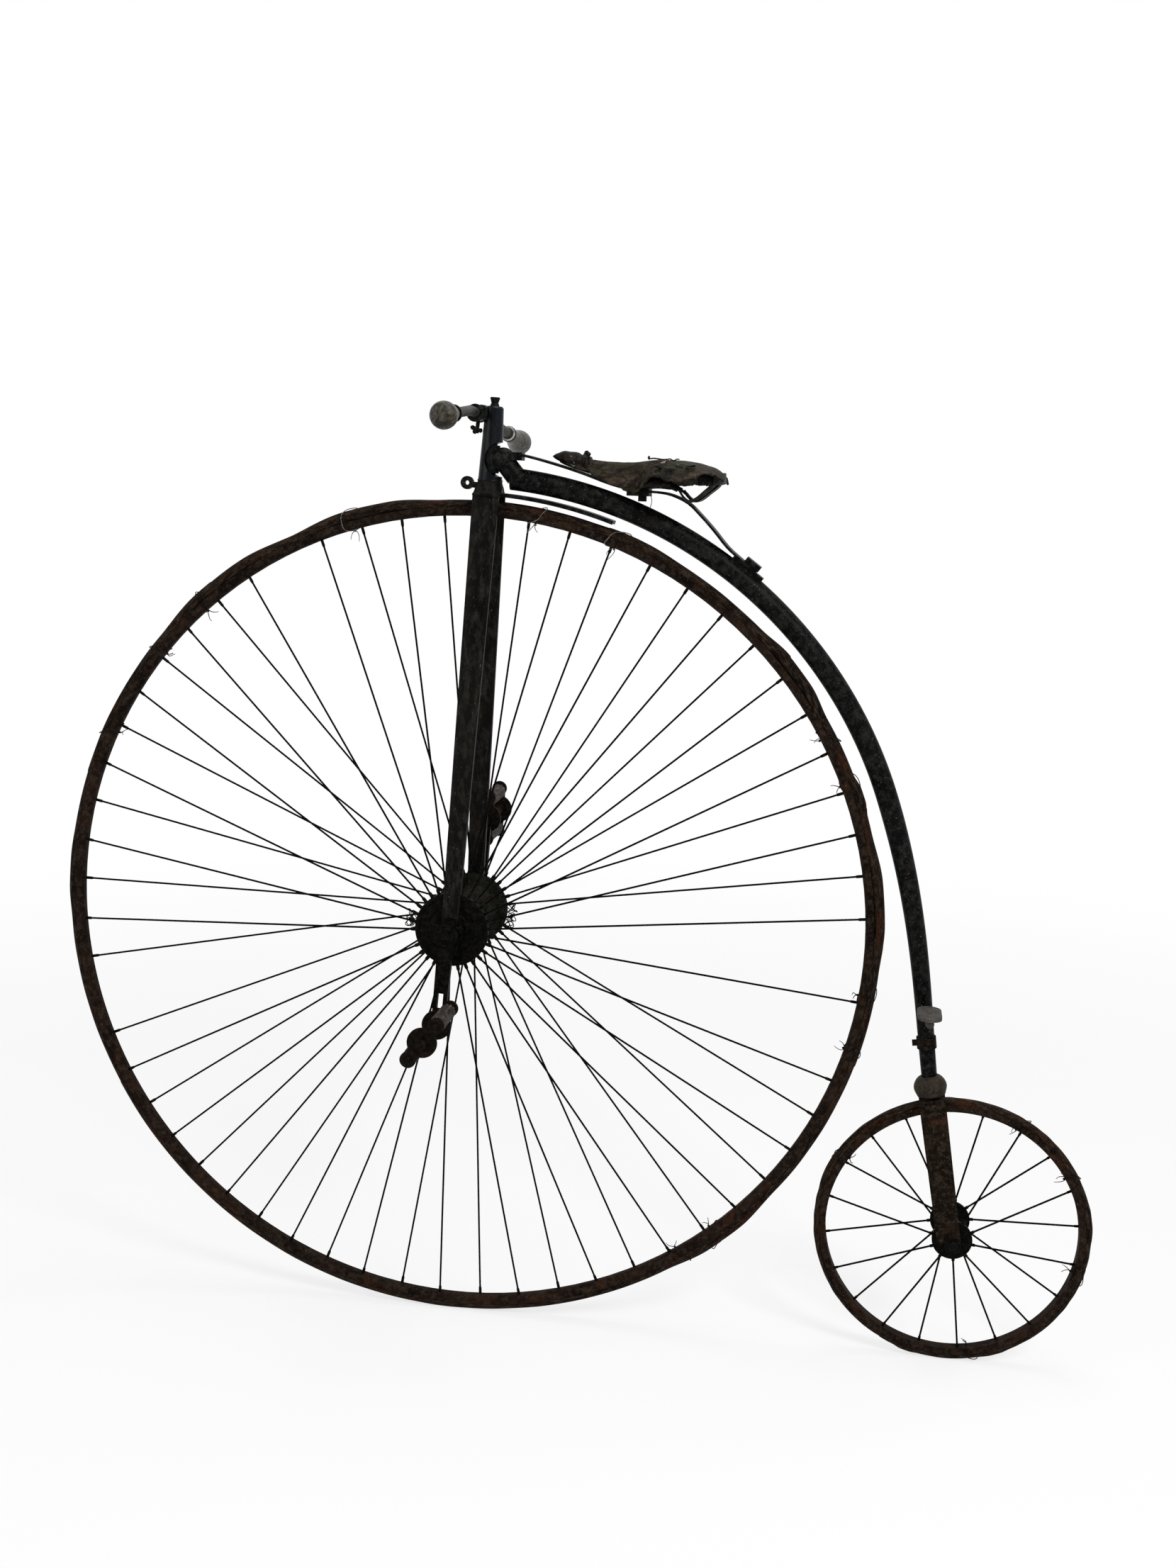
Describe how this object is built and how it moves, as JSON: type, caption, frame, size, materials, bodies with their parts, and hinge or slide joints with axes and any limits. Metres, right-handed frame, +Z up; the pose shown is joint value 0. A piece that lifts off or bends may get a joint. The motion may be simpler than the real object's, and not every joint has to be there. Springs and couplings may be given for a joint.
{
  "type": "penny farthing bicycle",
  "caption": "High-wheel bicycle with a tall direct-driven front wheel, small rear wheel, curved backbone, leather saddle on a leaf spring and straight bars with pear grips.",
  "frame": {"origin": "top of the saddle where the rider sits, on the middle plane", "axes": "+X towards the small rear wheel, nose towards -X; +Y the machine's right; +Z up"},
  "size_m": [1.6704, 0.5848, 1.4742],
  "materials": {
    "black_paint": "worn satin black paint over iron",
    "rusted_iron": "dark brown rust",
    "worn_steel": "dull grey worn steel",
    "tyre_rubber": "perished solid rubber",
    "pedal_rubber": "dry ribbed rubber",
    "grip_horn": "weathered horn",
    "saddle_leather": "torn dark leather"
  },
  "bodies": {
    "frame": {"steering_spindle": "worn_steel", "backbone_neck": "black_paint", "backbone": "black_paint", "rear_shoulder": "rusted_iron", "rear_blade_left": "rusted_iron", "rear_blade_right": "rusted_iron", "rear_axle": "worn_steel", "rear_nuts": "rusted_iron", "step": "worn_steel", "stay_collar": "rusted_iron", "saddle_spring": "black_paint", "spring_clip": "black_paint", "saddle_clamp": "black_paint", "saddle_frame": "rusted_iron", "saddle_leather": "saddle_leather"},
    "steering": {"fork_crown": "black_paint", "head_tube": "black_paint", "head_bolt": "black_paint", "fork_blade_left": "black_paint", "fork_blade_right": "black_paint", "bearing_left": "black_paint", "bearing_right": "black_paint", "handlebar_lug": "black_paint", "handlebar": "black_paint", "grip_left": "grip_horn", "grip_right": "grip_horn", "brake_spoon": "black_paint", "brake_eye": "black_paint"},
    "front_wheel": {"front_tyre": "tyre_rubber", "front_rim": "rusted_iron", "front_spokes": "rusted_iron", "front_hub": "rusted_iron", "front_axle": "worn_steel", "crank_left": "rusted_iron", "crank_right": "rusted_iron", "pedal_pin_left": "worn_steel", "pedal_pin_right": "worn_steel"},
    "pedal_left": {"pedal_left_plates": "worn_steel", "pedal_left_rubbers": "pedal_rubber"},
    "pedal_right": {"pedal_right_plates": "worn_steel", "pedal_right_rubbers": "pedal_rubber"},
    "rear_wheel": {"rear_hub": "rusted_iron", "rear_spokes": "rusted_iron", "rear_rim": "rusted_iron", "rear_tyre": "tyre_rubber"}
  },
  "joints": [
    {"name": "steer", "type": "hinge", "parent": "frame", "child": "steering", "pos_m": [-0.26228, 0, -0.00753], "axis": [0.0384, 0, 0.9993], "range_deg": [-40, 40]},
    {"name": "front_wheel_spin", "type": "hinge", "parent": "steering", "child": "front_wheel", "pos_m": [-0.29, 0, -0.729], "axis": [0, 1, 0], "continuous": true},
    {"name": "pedal_left_spin", "type": "hinge", "parent": "front_wheel", "child": "pedal_left", "pos_m": [-0.29984, -0.1696, -0.86966], "axis": [0, 1, 0], "continuous": true},
    {"name": "pedal_right_spin", "type": "hinge", "parent": "front_wheel", "child": "pedal_right", "pos_m": [-0.28016, 0.1696, -0.58834], "axis": [0, 1, 0], "continuous": true},
    {"name": "rear_wheel_spin", "type": "hinge", "parent": "frame", "child": "rear_wheel", "pos_m": [0.5053, 0, -1.17375], "axis": [0, 1, 0], "continuous": true}
  ]
}
